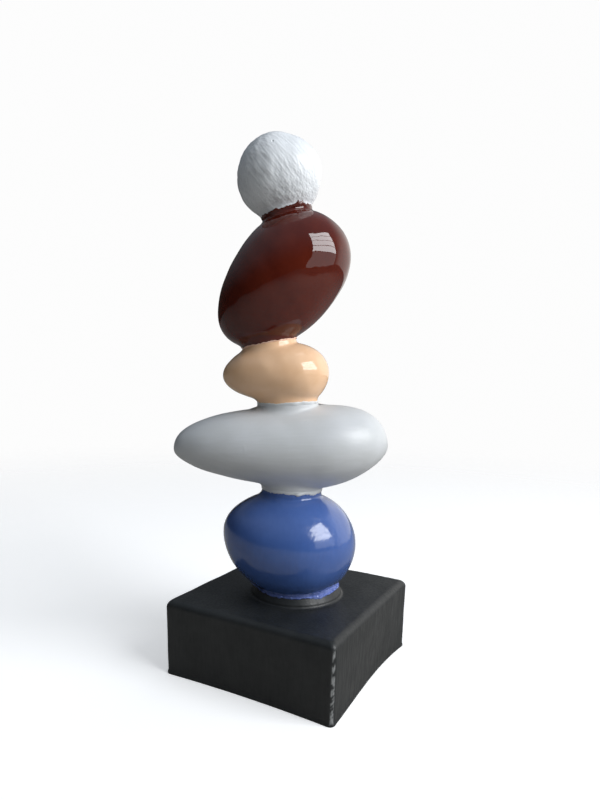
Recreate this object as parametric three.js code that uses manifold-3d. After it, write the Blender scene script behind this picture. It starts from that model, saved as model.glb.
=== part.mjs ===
// A stack of five painted stones balanced on a square black block, as a small cast ornament.
// Millimetres, +Z up, origin at the centre of the block's underside, front face towards -Y.
// The stones' long axes lie in one upright plane, the stack plane, which is turned about Z
// from the block's front face. Places in it are [along, up]: along the plane and above the table.
import * as THREE from "three";
import { mergeVertices } from "three/addons/utils/BufferGeometryUtils.js";
import Module from "manifold-3d";

// The block: width over its top corners, height, and how far its foot draws in from them.
const BASE_WIDTH = 100;
const BASE_HEIGHT = 39.8;
const BASE_TAPER = 1.3;
const BASE_CORNER_RADIUS = 2.5;
const BASE_EDGE_RADIUS = 4;
// Its sides are pinched inward at mid length, hardly at the top and clearly at the foot.
// skew moves the deepest place towards the side's far end, going anticlockwise from the front.
const BASE_SIDES = {
  front: { top: 0.3, foot: 1.5, skew: 0 },
  right: { top: 0.2, foot: 2.1, skew: 0.6 },
  back: { top: 0.3, foot: 1.8, skew: -0.2 },
  left: { top: 0.5, foot: 1.6, skew: 0.2 },
};
// A thin lip of flash runs round the foot.
const LIP_REACH = 0.4;
const LIP_HEIGHT = 1.0;
// The low round collar on the block that the lowest stone stands on.
const COLLAR_FOOT_RADIUS = 24.5;
const COLLAR_TOP_RADIUS = 22.8;
const COLLAR_HEIGHT = 5.2;
const COLLAR_FILLET = 1.6;

// The stack plane: its turn from the block's front face, and its distance in front of the middle.
const STACK_TURN = THREE.MathUtils.degToRad(28.6);
const STACK_FORWARD = 4;

// Each stone is an egg of four quarters about a long axis. centre is where its thickest section
// crosses that axis, tilt turns the axis in the stack plane. tail and nose are its reaches along
// the axis, crown and belly those above and below it, half_depth that across the stack plane.
// blunt adds to the power of an ellipse at each end and each side: more is blunter, less is
// more pointed. tail_rise and nose_rise lift the two tips off the axis.
const ELLIPSE_POWER = 2;
const STONES = {
  white_ball_stone: {
    centre: [-14, 266.5], tilt: -8.5, tail: 20, nose: 24.5, crown: 21.5, belly: 23,
    half_depth: 22.5, tail_rise: -1, nose_rise: 0,
    blunt: { tail: -0.05, nose: 0.3, crown: 0, belly: 0 },
  },
  brown_stone: {
    centre: [-8, 215.5], tilt: 54.5, tail: 47.5, nose: 36.5, crown: 26, belly: 31,
    half_depth: 28, tail_rise: 1.5, nose_rise: -4,
    blunt: { tail: 0, nose: 0.2, crown: 0, belly: 0 },
  },
  peach_stone: {
    centre: [-4, 161], tilt: -6, tail: 36, nose: 21, crown: 16.5, belly: 17.5,
    half_depth: 21, tail_rise: -5, nose_rise: 0.5,
    blunt: { tail: 0, nose: 0.2, crown: 0, belly: 0 },
  },
  long_white_stone: {
    centre: [11.3, 121.4], tilt: 3, tail: 77.7, nose: 38.7, crown: 22.3, belly: 22.9,
    half_depth: 29, tail_rise: 0, nose_rise: -1.5,
    blunt: { tail: 0, nose: 0, crown: 0.6, belly: -0.4 },
  },
  blue_stone: {
    centre: [2, 70], tilt: -5, tail: 41, nose: 32, crown: 26.5, belly: 32.5,
    half_depth: 34, tail_rise: 2, nose_rise: -0.5,
    blunt: { tail: -0.1, nose: -0.05, crown: 0, belly: 0 },
  },
};

// The necks of filler between the stones, each a waist with a fillet to the stone on both sides.
// flare_up and flare_down are how far out from the waist those fillets end.
const NECKS = [
  {
    above: "white_ball_stone", below: "brown_stone", centre: [-7.1, 246.3], tilt: 14.9,
    radius: 13.4, half_depth: 13, flare_up: 3.4, flare_down: 4,
  },
  {
    above: "brown_stone", below: "peach_stone", centre: [-15, 176.7], tilt: 11.6,
    radius: 14.2, half_depth: 13.5, flare_up: 4, flare_down: 6,
  },
  {
    above: "peach_stone", below: "long_white_stone", centre: [-4.6, 144.4], tilt: 3.1,
    radius: 16, half_depth: 14.5, flare_up: 4, flare_down: 5,
  },
  {
    above: "long_white_stone", below: "blue_stone", centre: [-1.6, 97.6], tilt: -0.8,
    radius: 16.3, half_depth: 16, flare_up: 7, flare_down: 5,
  },
];

// The power of a neck's fillet curve. Its hidden end is narrower than the waist, by this share,
// and goes this deep into the stone.
const FILLET_POWER = 1.6;
const NECK_END_SHARE = 0.5;
const NECK_SUNK = 1.2;

// Neighbouring pieces stop this far apart.
const JOINT_GAP = 0.3;

// Facets: round a stone, from tip to tip, round a neck, up a fillet, and round the block.
const STONE_SIDES = 28;
const STONE_RINGS = 18;
const NECK_SIDES = 24;
const FILLET_STEPS = 3;
const SIDE_STEPS = 8;
const CORNER_STEPS = 3;

// Corners closer than this are one. A girth under POLE_GIRTH is a pole of a unit ball. A stone's
// surface is looked for in steps of SEARCH_STEP, and SLAB_SIZE is more than any piece's length.
const MERGE_TOLERANCE = 1e-4;
const POLE_GIRTH = 1e-6;
const SEARCH_STEP = 0.25;
const SLAB_SIZE = 160;

// Finishes as the eye sees them: satin black, semi-gloss blue and white, glossy peach and brown.
const FINISHES = {
  black_base: { color: 0x17191a, roughness: 0.45 },
  blue_stone: { color: 0x2f4a86, roughness: 0.25 },
  long_white_stone: { color: 0xdfe3e6, roughness: 0.3 },
  peach_stone: { color: 0xe3ae7e, roughness: 0.12 },
  brown_stone: { color: 0x4a1a0f, roughness: 0.08 },
  white_ball_stone: { color: 0xe6ebee, roughness: 0.35 },
};

const wasm = await Module();
wasm.setup();

// The solid that a closed geometry bounds, whichever way round its faces are written. Faces that
// close up at a pole are left out.
function solidOf(geometry) {
  const bare = new THREE.BufferGeometry();
  bare.setAttribute("position", geometry.getAttribute("position"));
  bare.setIndex(geometry.getIndex());
  const merged = mergeVertices(bare, MERGE_TOLERANCE);
  const vertProperties = new Float32Array(merged.getAttribute("position").array);
  const corners = merged.getIndex().array;
  const faces = [];
  const turned = [];
  for (let i = 0; i < corners.length; i += 3) {
    const [a, b, c] = [corners[i], corners[i + 1], corners[i + 2]];
    if (a === b || b === c || c === a) continue;
    faces.push(a, b, c);
    turned.push(a, c, b);
  }
  const bounded = (triangles) => {
    const triVerts = new Uint32Array(triangles);
    return new wasm.Manifold(new wasm.Mesh({ numProp: 3, vertProperties, triVerts }));
  };
  const solid = bounded(faces);
  return solid.volume() > 0 ? solid : bounded(turned);
}

// A named mesh of a solid, in its own finish.
function pieceOf(name, solid) {
  const mesh = solid.getMesh();
  const points = new Float32Array(mesh.numVert * 3);
  for (let i = 0; i < mesh.numVert; i += 1) {
    const start = i * mesh.numProp;
    points.set(mesh.vertProperties.subarray(start, start + 3), i * 3);
  }
  const geometry = new THREE.BufferGeometry();
  geometry.setAttribute("position", new THREE.BufferAttribute(points, 3));
  geometry.setIndex(new THREE.BufferAttribute(new Uint32Array(mesh.triVerts), 1));
  geometry.computeVertexNormals();
  const material = new THREE.MeshStandardMaterial({ ...FINISHES[name], metalness: 0 });
  const piece = new THREE.Mesh(geometry, material);
  piece.name = name;
  return piece;
}

// The matrix that lays a form's X along the stack plane, Y across it and Z up, tilted in the plane.
function stackPlace([along, up], tilt) {
  const place = new THREE.Matrix4().makeRotationZ(STACK_TURN);
  place.multiply(new THREE.Matrix4().makeTranslation(along, -STACK_FORWARD, up));
  return place.multiply(new THREE.Matrix4().makeRotationY(-THREE.MathUtils.degToRad(tilt)));
}

// The stone's reach, tip rise and power where a point lies: at the tail end or the nose end, and
// as far up (1) or down (-1) round the axis as its bearing says.
function quarterOf(stone, along, bearing) {
  const { blunt } = stone;
  const side = blunt.belly + ((blunt.crown - blunt.belly) * (1 + bearing)) / 2;
  const power = ELLIPSE_POWER + side;
  if (along < 0) return { reach: stone.tail, rise: stone.tail_rise, power: power + blunt.tail };
  return { reach: stone.nose, rise: stone.nose_rise, power: power + blunt.nose };
}

// A stone in its own axes: a unit ball with its poles at the tips, drawn out along the two end
// curves, then to the crown, belly and depth, with its tips lifted by the square of the reach.
function stoneGeometry(stone) {
  const geometry = new THREE.SphereGeometry(1, STONE_SIDES, STONE_RINGS);
  const points = geometry.getAttribute("position");
  for (let i = 0; i < points.count; i += 1) {
    const end = points.getY(i);
    const girth = Math.hypot(points.getX(i), points.getZ(i));
    const [up, deep] = [points.getX(i) / (girth || 1), points.getZ(i) / (girth || 1)];
    const { reach, rise, power } = quarterOf(stone, end, up);
    const share = Math.abs(end) ** (2 / power);
    const swell = girth < POLE_GIRTH ? 0 : girth ** (2 / power);
    const height = swell * up * (up > 0 ? stone.crown : stone.belly) + rise * share ** 2;
    points.setXYZ(i, Math.sign(end) * reach * share, swell * deep * stone.half_depth, height);
  }
  return geometry;
}

// How far outside the stone a point in its axes lies: negative within, 0 on the surface.
function outside(stone, point) {
  const { reach, rise } = quarterOf(stone, point.x, 0);
  const share = Math.abs(point.x) / reach;
  const height = point.z - rise * share ** 2;
  const up = height / (height > 0 ? stone.crown : stone.belly);
  const girth = Math.hypot(up, point.y / stone.half_depth);
  const { power } = quarterOf(stone, point.x, up / (girth || 1));
  return share ** power + girth ** power - 1;
}

// The height over the neck's plane at which a line along the neck's axis first enters the stone.
// side is 1 for the stone above the neck and -1 for the one below.
function surfaceHeight(stone, neck, x, y, side) {
  const toStone = stackPlace(stone.centre, stone.tilt).invert();
  toStone.multiply(stackPlace(neck.centre, neck.tilt));
  const at = (height) => outside(stone, new THREE.Vector3(x, y, side * height).applyMatrix4(toStone));
  let height = 0;
  while (at(height) > 0 && height < neck.radius) height += SEARCH_STEP;
  return height;
}

// Half a neck, from its waist to one stone: a lathe form whose rings climb a fillet, steep at the
// waist, and end on the stone at the flare, whatever the height there. The rings are drawn as
// levels: 0 at the waist, 1 at the flare, and a last one for the end that is sunk into the stone.
function neckGeometry(neck, stone, side) {
  const flare = side > 0 ? neck.flare_up : neck.flare_down;
  const sunkLevel = 2;
  const profile = [new THREE.Vector2(0, 0)];
  for (let i = 0; i <= FILLET_STEPS; i += 1) profile.push(new THREE.Vector2(1, i / FILLET_STEPS));
  profile.push(new THREE.Vector2(NECK_END_SHARE, sunkLevel), new THREE.Vector2(0, sunkLevel));
  const geometry = new THREE.LatheGeometry(profile, NECK_SIDES);
  const points = geometry.getAttribute("position");
  const outer = 1 + flare / neck.radius;
  for (let i = 0; i < points.count; i += 1) {
    const girth = Math.hypot(points.getX(i), points.getZ(i));
    const across = (points.getX(i) / (girth || 1)) * neck.radius;
    const deep = (-points.getZ(i) / (girth || 1)) * neck.half_depth;
    const level = points.getY(i);
    const share = Math.min(level, 1);
    const top = surfaceHeight(stone, neck, across * outer, deep * outer, side);
    const reach = girth * (1 + (outer - 1) * share);
    const sunk = level === sunkLevel ? NECK_SUNK : 0;
    const height = top * (1 - (1 - share) ** FILLET_POWER) + sunk;
    points.setXYZ(i, across * reach, deep * reach, side * height);
  }
  return geometry;
}

// A slab whose one face lies at a height, and which fills the side above (1) or below (-1) it.
function slabGeometry(height, side) {
  const slab = new THREE.BoxGeometry(SLAB_SIZE, SLAB_SIZE, SLAB_SIZE);
  return slab.translate(0, 0, height + (side * SLAB_SIZE) / 2);
}

// A stone with the halves of its necks, cut off square half a gap short of their waists.
function stoneSolid(name) {
  const stone = STONES[name];
  let solid = solidOf(stoneGeometry(stone).applyMatrix4(stackPlace(stone.centre, stone.tilt)));
  for (const neck of NECKS) {
    if (neck.below !== name && neck.above !== name) continue;
    const side = neck.below === name ? -1 : 1;
    const place = stackPlace(neck.centre, neck.tilt);
    const half = neckGeometry(neck, stone, side).applyMatrix4(place);
    const beyond = slabGeometry((side * JOINT_GAP) / 2, -side).applyMatrix4(place);
    solid = solid.add(solidOf(half)).subtract(solidOf(beyond));
  }
  return solid;
}

// The block's outline at a height: four pinched sides joined by round corners.
function baseOutline(height) {
  const share = height / BASE_HEIGHT;
  const half = BASE_WIDTH / 2 - BASE_TAPER * (1 - share);
  const straight = half - BASE_CORNER_RADIUS;
  const origin = new THREE.Vector2(0, 0);
  const outline = [];
  Object.values(BASE_SIDES).forEach(({ top, foot, skew }, side) => {
    const pinch = foot + (top - foot) * share;
    const turn = (side * Math.PI) / 2;
    for (let i = 0; i <= SIDE_STEPS; i += 1) {
      const along = (2 * i) / SIDE_STEPS - 1;
      const drawn = pinch * (1 - along ** 2) * (1 + skew * along);
      outline.push(new THREE.Vector2(along * straight, drawn - half).rotateAround(origin, turn));
    }
    for (let i = 1; i < CORNER_STEPS; i += 1) {
      const angle = (Math.PI / 2) * (i / CORNER_STEPS - 1);
      const point = new THREE.Vector2(Math.cos(angle), Math.sin(angle));
      point.multiplyScalar(BASE_CORNER_RADIUS).add(new THREE.Vector2(straight, -straight));
      outline.push(point.rotateAround(origin, turn));
    }
  });
  return outline;
}

// The block: a lathe form whose rings are drawn out to the outline at their height.
function baseGeometry() {
  const inset = (amount) => 1 - (2 * amount) / BASE_WIDTH;
  const profile = [
    new THREE.Vector2(0, 0),
    new THREE.Vector2(inset(-LIP_REACH), 0),
    new THREE.Vector2(inset(-LIP_REACH), LIP_HEIGHT),
    new THREE.Vector2(1, 2 * LIP_HEIGHT),
    new THREE.Vector2(1, BASE_HEIGHT / 2),
  ];
  for (let i = 0; i <= FILLET_STEPS; i += 1) {
    const turn = (Math.PI / 2) * (i / FILLET_STEPS);
    const drawn = BASE_EDGE_RADIUS * (1 - Math.cos(turn));
    const height = BASE_HEIGHT - BASE_EDGE_RADIUS * (1 - Math.sin(turn));
    profile.push(new THREE.Vector2(inset(drawn), height));
  }
  profile.push(new THREE.Vector2(0, BASE_HEIGHT));
  const sides = 4 * (SIDE_STEPS + CORNER_STEPS);
  const geometry = new THREE.LatheGeometry(profile, sides);
  const points = geometry.getAttribute("position");
  for (let i = 0; i < points.count; i += 1) {
    const { x: girth, y: height } = profile[i % profile.length];
    const edge = baseOutline(height)[Math.floor(i / profile.length) % sides];
    points.setXYZ(i, edge.x * girth, edge.y * girth, height);
  }
  return geometry;
}

// The collar on the block, with a small fillet at its foot.
function collarGeometry() {
  const profile = [new THREE.Vector2(0, BASE_HEIGHT - COLLAR_HEIGHT)];
  profile.push(new THREE.Vector2(COLLAR_FOOT_RADIUS + COLLAR_FILLET, BASE_HEIGHT - COLLAR_HEIGHT));
  for (let i = 0; i <= FILLET_STEPS; i += 1) {
    const turn = (Math.PI / 2) * (i / FILLET_STEPS);
    const radius = COLLAR_FOOT_RADIUS + COLLAR_FILLET * (1 - Math.sin(turn));
    profile.push(new THREE.Vector2(radius, BASE_HEIGHT + COLLAR_FILLET * (1 - Math.cos(turn))));
  }
  profile.push(new THREE.Vector2(COLLAR_TOP_RADIUS, BASE_HEIGHT + COLLAR_HEIGHT));
  profile.push(new THREE.Vector2(0, BASE_HEIGHT + COLLAR_HEIGHT));
  const geometry = new THREE.LatheGeometry(profile, NECK_SIDES);
  geometry.rotateX(Math.PI / 2);
  return geometry.applyMatrix4(stackPlace([STONES.blue_stone.centre[0], 0], 0));
}

// All the pieces, from the block up. The lowest stone is cut flat where it stands on the collar.
const solids = { black_base: solidOf(baseGeometry()).add(solidOf(collarGeometry())) };
for (const name of Object.keys(STONES).reverse()) solids[name] = stoneSolid(name);
const belowStack = slabGeometry(BASE_HEIGHT + COLLAR_HEIGHT + JOINT_GAP, -1);
solids.blue_stone = solids.blue_stone.subtract(solidOf(belowStack));

const sculpture = new THREE.Group();
for (const [name, solid] of Object.entries(solids)) sculpture.add(pieceOf(name, solid));

export default sculpture;
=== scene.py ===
"""Looks of a stack of painted stones balanced on a square black block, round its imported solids.

Lengths in the classes are millimetres, and become metres where a mesh is made. +Z is up and the
block's front faces -Y. The stones' long axes lie in one upright plane, the stack plane. A place
on it is (along, up); away is the distance behind it, so that the viewer is on its negative side.
"""
import logging
import math
from dataclasses import dataclass
from enum import Enum

import bpy
import numpy as np
from mathutils import Matrix


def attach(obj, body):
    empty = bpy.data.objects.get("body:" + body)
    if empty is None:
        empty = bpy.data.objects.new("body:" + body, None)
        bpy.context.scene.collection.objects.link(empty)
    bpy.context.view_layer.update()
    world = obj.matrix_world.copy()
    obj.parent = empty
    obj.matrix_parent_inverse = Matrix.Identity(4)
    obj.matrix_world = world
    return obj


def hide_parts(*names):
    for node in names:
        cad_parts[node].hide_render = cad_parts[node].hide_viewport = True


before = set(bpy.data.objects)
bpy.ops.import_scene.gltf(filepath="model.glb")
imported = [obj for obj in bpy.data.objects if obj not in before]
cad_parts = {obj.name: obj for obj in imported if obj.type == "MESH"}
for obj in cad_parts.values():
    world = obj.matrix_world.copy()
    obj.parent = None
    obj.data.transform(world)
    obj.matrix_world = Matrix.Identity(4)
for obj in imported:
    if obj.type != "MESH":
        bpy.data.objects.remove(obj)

log = logging.getLogger("sculpture")

MM = 0.001
BODY = "root"
STACK_TURN = math.radians(28.6)
STACK_FORWARD = 4.0
ALONG = np.array([math.cos(STACK_TURN), math.sin(STACK_TURN), 0.0])
AWAY = np.array([-math.sin(STACK_TURN), math.cos(STACK_TURN), 0.0])
UP = np.array([0.0, 0.0, 1.0])
FRONT = -90.0

BASE_HEIGHT = 39.8
COLLAR_TOP = 45.0
WAIST_GAP = 0.02
GRADIENT_STEP = 0.02


@dataclass(frozen=True)
class Axes:
    """An origin and three unit rows, in millimetres."""

    origin: np.ndarray
    rows: np.ndarray

    def local(self, points: np.ndarray) -> np.ndarray:
        """Points of the shared frame, in these axes."""
        return (points - self.origin) @ self.rows.T

    def world(self, points: np.ndarray) -> np.ndarray:
        """Points of these axes, in the shared frame."""
        return points @ self.rows + self.origin


def stack_point(along: float, up: float, away: float = -STACK_FORWARD) -> np.ndarray:
    """The point of the shared frame at a place on the stack plane, or away from it."""
    return along * ALONG + away * AWAY + up * UP


def stack_axes(along: float, up: float, tilt: float) -> Axes:
    """Axes at a place on the stack plane: X along it, Y away and Z up, turned by tilt in it.

    Args:
        along: Place along the stack plane.
        up: Height above the table.
        tilt: Degrees that X rises by.

    Returns:
        The axes.
    """
    turn = math.radians(tilt)
    first = math.cos(turn) * ALONG + math.sin(turn) * UP
    last = math.cos(turn) * UP - math.sin(turn) * ALONG
    return Axes(stack_point(along, up), np.stack([first, AWAY, last]))


def smooth_step(low: float, high: float, value: np.ndarray) -> np.ndarray:
    """0 below low, 1 above high, and between them 3 t squared less 2 t cubed."""
    share = np.clip((value - low) / (high - low), 0.0, 1.0)
    return share * share * (3.0 - 2.0 * share)


def join_smoothly(a: np.ndarray, b: np.ndarray, width: np.ndarray | float) -> np.ndarray:
    """The lesser of two distances, with a fillet: less h squared times a quarter of the width,
    where h is how near they are to each other, as a share of the width."""
    near = np.clip(1.0 - np.abs(a - b) / width, 0.0, 1.0)
    return np.minimum(a, b) - near * near * width / 4.0


def unit(vectors: np.ndarray) -> np.ndarray:
    """The vectors at length one."""
    return vectors / np.maximum(np.linalg.norm(vectors, axis=-1, keepdims=True), 1e-12)


@dataclass(frozen=True)
class Ripple:
    """A smooth uneven relief: plane waves of seeded random direction and phase, added up.

    With a stroke, the waves run nearly square to it, so that the relief is drawn out along it.
    """

    height: float
    longest: float
    shortest: float
    seed: int
    waves: int = 16
    stroke: tuple[float, float, float] | None = None
    spread: float = 0.12

    def at(self, points: np.ndarray) -> np.ndarray:
        """The relief's height at each point.

        Args:
            points: Points of the shared frame, in any array shape that ends in 3.

        Returns:
            The sum over the waves of weight times the sine of the phase along the wave.
        """
        rng = np.random.default_rng(self.seed)
        turns = unit(rng.normal(size=(self.waves, 3)))
        if self.stroke is not None:
            drawn = unit(np.array(self.stroke))
            lengthwise = (turns @ drawn)[:, None] * drawn
            turns = unit(turns - lengthwise) + self.spread * lengthwise
        lengths = np.geomspace(self.longest, self.shortest, self.waves)
        weights = np.sqrt(lengths / self.longest)
        phases = rng.uniform(0.0, 2.0 * math.pi, self.waves)
        total = np.zeros(points.shape[:-1])
        for turn, length, weight, phase in zip(turns, lengths, weights, phases):
            total += weight * np.sin(2.0 * math.pi / length * (points @ turn) + phase)
        return self.height * total / math.sqrt(float(np.sum(weights**2)) / 2.0)


@dataclass(frozen=True)
class Mark:
    """A small pit or bump seen from the front, at a place on the stack plane, with a rim."""

    along: float
    up: float
    radius: float
    height: float
    rim: float = 0.0

    def at(self, points: np.ndarray) -> np.ndarray:
        """Height at each point: a bell of the distance, and a second bell round its edge."""
        local = stack_axes(self.along, self.up, 0.0).local(points)
        distance = np.hypot(local[..., 0], local[..., 2]) / self.radius
        front = local[..., 1] < 0.0
        bell = self.height * np.exp(-(distance**2))
        ring = self.rim * np.exp(-(((distance - 1.7) / 0.6) ** 2))
        return np.where(front, bell + ring, 0.0)


@dataclass(frozen=True)
class Crease:
    """A thin ridge or groove seen from the front, along a bowed line between two places."""

    start: tuple[float, float]
    end: tuple[float, float]
    bow: float
    width: float
    height: float

    def at(self, points: np.ndarray) -> np.ndarray:
        """Height at each point: a bell of the distance to a parabola over the chord, faded at
        both ends by the square root of a sine."""
        local = stack_axes(self.start[0], self.start[1], 0.0).local(points)
        chord = np.array([self.end[0] - self.start[0], self.end[1] - self.start[1]])
        length = float(np.hypot(*chord))
        first, second = chord / length
        share = (local[..., 0] * first + local[..., 2] * second) / length
        across = local[..., 2] * first - local[..., 0] * second
        inside = np.clip(share, 0.0, 1.0)
        off = across - 4.0 * self.bow * inside * (1.0 - inside)
        fade = np.sqrt(np.clip(np.sin(math.pi * inside), 0.0, 1.0))
        shown = (local[..., 1] < 0.0) & (share > 0.0) & (share < 1.0)
        return np.where(shown, self.height * fade * np.exp(-((off / self.width) ** 2)), 0.0)


Relief = Ripple | Mark | Crease


@dataclass(frozen=True)
class Pebble:
    """An egg of four quarters about a long axis in the stack plane.

    Its thickest section crosses the axis at (along, up). tail and nose are its reaches along the
    axis, crown and belly those above and below it, half_depth that across the stack plane. The
    blunt values add to the power of an ellipse, and the rises lift the two tips off the axis.
    """

    along: float
    up: float
    tilt: float
    tail: float
    nose: float
    crown: float
    belly: float
    half_depth: float
    tail_rise: float
    nose_rise: float
    blunt_tail: float = 0.0
    blunt_nose: float = 0.0
    blunt_crown: float = 0.0
    blunt_belly: float = 0.0

    def gauge(self, points: np.ndarray) -> np.ndarray:
        """How many times its own size the egg needs to reach each point.

        Args:
            points: Points of the shared frame.

        Returns:
            The n-th root of (share of the reach to the n, plus share of the girth to the n).
        """
        x, y, z = np.moveaxis(stack_axes(self.along, self.up, self.tilt).local(points), -1, 0)
        behind = x < 0.0
        share = np.abs(x) / np.where(behind, self.tail, self.nose)
        height = z - np.where(behind, self.tail_rise, self.nose_rise) * share**2
        lift = height / np.where(height > 0.0, self.crown, self.belly)
        girth = np.hypot(lift, y / self.half_depth)
        bearing = (1.0 + lift / np.maximum(girth, 1e-9)) / 2.0
        side = self.blunt_belly + (self.blunt_crown - self.blunt_belly) * bearing
        power = 2.0 + side + np.where(behind, self.blunt_tail, self.blunt_nose)
        return (share**power + girth**power) ** (1.0 / power)

    def distance(self, points: np.ndarray) -> np.ndarray:
        """Distance outside the egg, by the gauge less one over the length of its gradient."""
        here = self.gauge(points)
        steps = [self.gauge(points + GRADIENT_STEP * way) - here for way in np.eye(3)]
        slope = np.sqrt(sum(step**2 for step in steps)) / GRADIENT_STEP
        return (here - 1.0) / np.maximum(slope, 1e-6)


@dataclass(frozen=True)
class Neck:
    """A waist of filler between two stones: an oval tube across the stack's line.

    fillet_left and fillet_right are the widths of the fillets that lead into the stones, at the
    waist's two ends in the stack plane. core is how far the tube runs into a stone.
    """

    along: float
    up: float
    tilt: float
    radius: float
    half_depth: float
    fillet_left: float
    fillet_right: float
    core: float = 12.0

    def axes(self) -> Axes:
        """The waist's centre, with Z along the tube."""
        return stack_axes(self.along, self.up, self.tilt)

    def join(self, distance: np.ndarray, points: np.ndarray, side: int) -> np.ndarray:
        """Adds the tube to a stone, with a fillet.

        Args:
            distance: Distance outside the stone at each point.
            points: The points.
            side: 1 for the stone above the waist, -1 for the one below.

        Returns:
            Distance outside the stone and the tube.
        """
        x, y, z = np.moveaxis(self.axes().local(points), -1, 0)
        oval = np.hypot(x / self.radius, y / self.half_depth)
        girth = np.hypot(x, y)
        tube = girth * (1.0 - 1.0 / np.maximum(oval, 1e-6))
        tube = np.maximum(tube, side * z - self.core)
        leftward = (1.0 - x / np.maximum(girth, 1e-6)) / 2.0
        width = self.fillet_right + (self.fillet_left - self.fillet_right) * leftward**2
        return join_smoothly(distance, tube, width)

    def ring(self, turns: np.ndarray, height: float = 0.0, inset: float = 0.0) -> np.ndarray:
        """Points round the oval.

        Args:
            turns: Bearings in radians from the plane's right end, anticlockwise from above.
            height: Place along the tube.
            inset: How far inside the oval.

        Returns:
            The points, in the shared frame.
        """
        x = (self.radius - inset) * np.cos(turns)
        y = (self.half_depth - inset) * np.sin(turns)
        return self.axes().world(np.stack([x, y, np.full_like(x, height)], axis=-1))

    def outward(self, turns: np.ndarray, rise: np.ndarray | float = 0.0) -> np.ndarray:
        """Unit directions at bearings round the tube, lifted towards its axis by rise radians."""
        flat = np.cos(rise)
        parts = [flat * np.cos(turns), flat * np.sin(turns), np.sin(rise) + 0.0 * turns]
        return np.stack(parts, axis=-1) @ self.axes().rows


@dataclass(frozen=True)
class StoneForm:
    """The form of one stone: its egg and the halves of the necks below and above it."""

    egg: Pebble
    below: Neck
    above: Neck | None = None

    def distance(self, points: np.ndarray) -> np.ndarray:
        """Distance outside the stone, with its necks, at each point."""
        total = self.below.join(self.egg.distance(points), points, 1)
        if self.above is not None:
            total = self.above.join(total, points, -1)
        return total


def find_surface(distance, origins: np.ndarray, ways: np.ndarray, far: float) -> np.ndarray:
    """Where rays that start inside a form leave it.

    The range is halved by the sign of the distance, and closed by the rule of false position.

    Args:
        distance: Function of points that is negative inside the form.
        origins: Start of each ray, or one start for all.
        ways: Unit direction of each ray.
        far: A length at which every ray is outside.

    Returns:
        The points on the surface.
    """
    low = np.zeros(ways.shape[:-1])
    high = np.full(ways.shape[:-1], far)
    low_value = np.full_like(low, -1.0)
    high_value = np.full_like(low, 1.0)
    for step in range(15):
        halving = step < 9
        share = 0.5 if halving else np.clip(low_value / (low_value - high_value), 0.02, 0.98)
        middle = low + (high - low) * share
        value = distance(origins + middle[..., None] * ways)
        inside = value < 0.0
        low = np.where(inside, middle, low)
        low_value = np.where(inside, value, low_value)
        high = np.where(inside, high, middle)
        high_value = np.where(inside, high_value, value)
    share = np.clip(low_value / (low_value - high_value), 0.0, 1.0)
    return origins + (low + (high - low) * share)[..., None] * ways


def gradient(distance, points: np.ndarray) -> np.ndarray:
    """Unit outward normals of a form at points of its surface, by central differences."""
    step = 3.0 * GRADIENT_STEP
    parts = [distance(points + step * way) - distance(points - step * way) for way in np.eye(3)]
    return unit(np.stack(parts, axis=-1))


def grid_normals(rings: np.ndarray) -> np.ndarray:
    """Unit normals of a closed grid: the step round a ring crossed with the step up the rings."""
    around = np.roll(rings, -1, axis=1) - np.roll(rings, 1, axis=1)
    return unit(np.cross(around, np.gradient(rings, axis=0)))


def arc_between(start: np.ndarray, end: np.ndarray, shares: np.ndarray) -> np.ndarray:
    """Unit directions along the great arcs from start to end.

    Args:
        start: Unit directions, one for each column.
        end: Unit directions, one for each column.
        shares: Shares of the arc, one for each row.

    Returns:
        An array of rows by columns by 3: the two ends weighted by sines of the angles to them.
    """
    angle = np.arccos(np.clip(np.sum(start * end, axis=-1), -1.0, 1.0))[None, :, None]
    share = shares[:, None, None]
    mixed = np.sin((1.0 - share) * angle) * start + np.sin(share * angle) * end
    return mixed / np.sin(angle)


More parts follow.
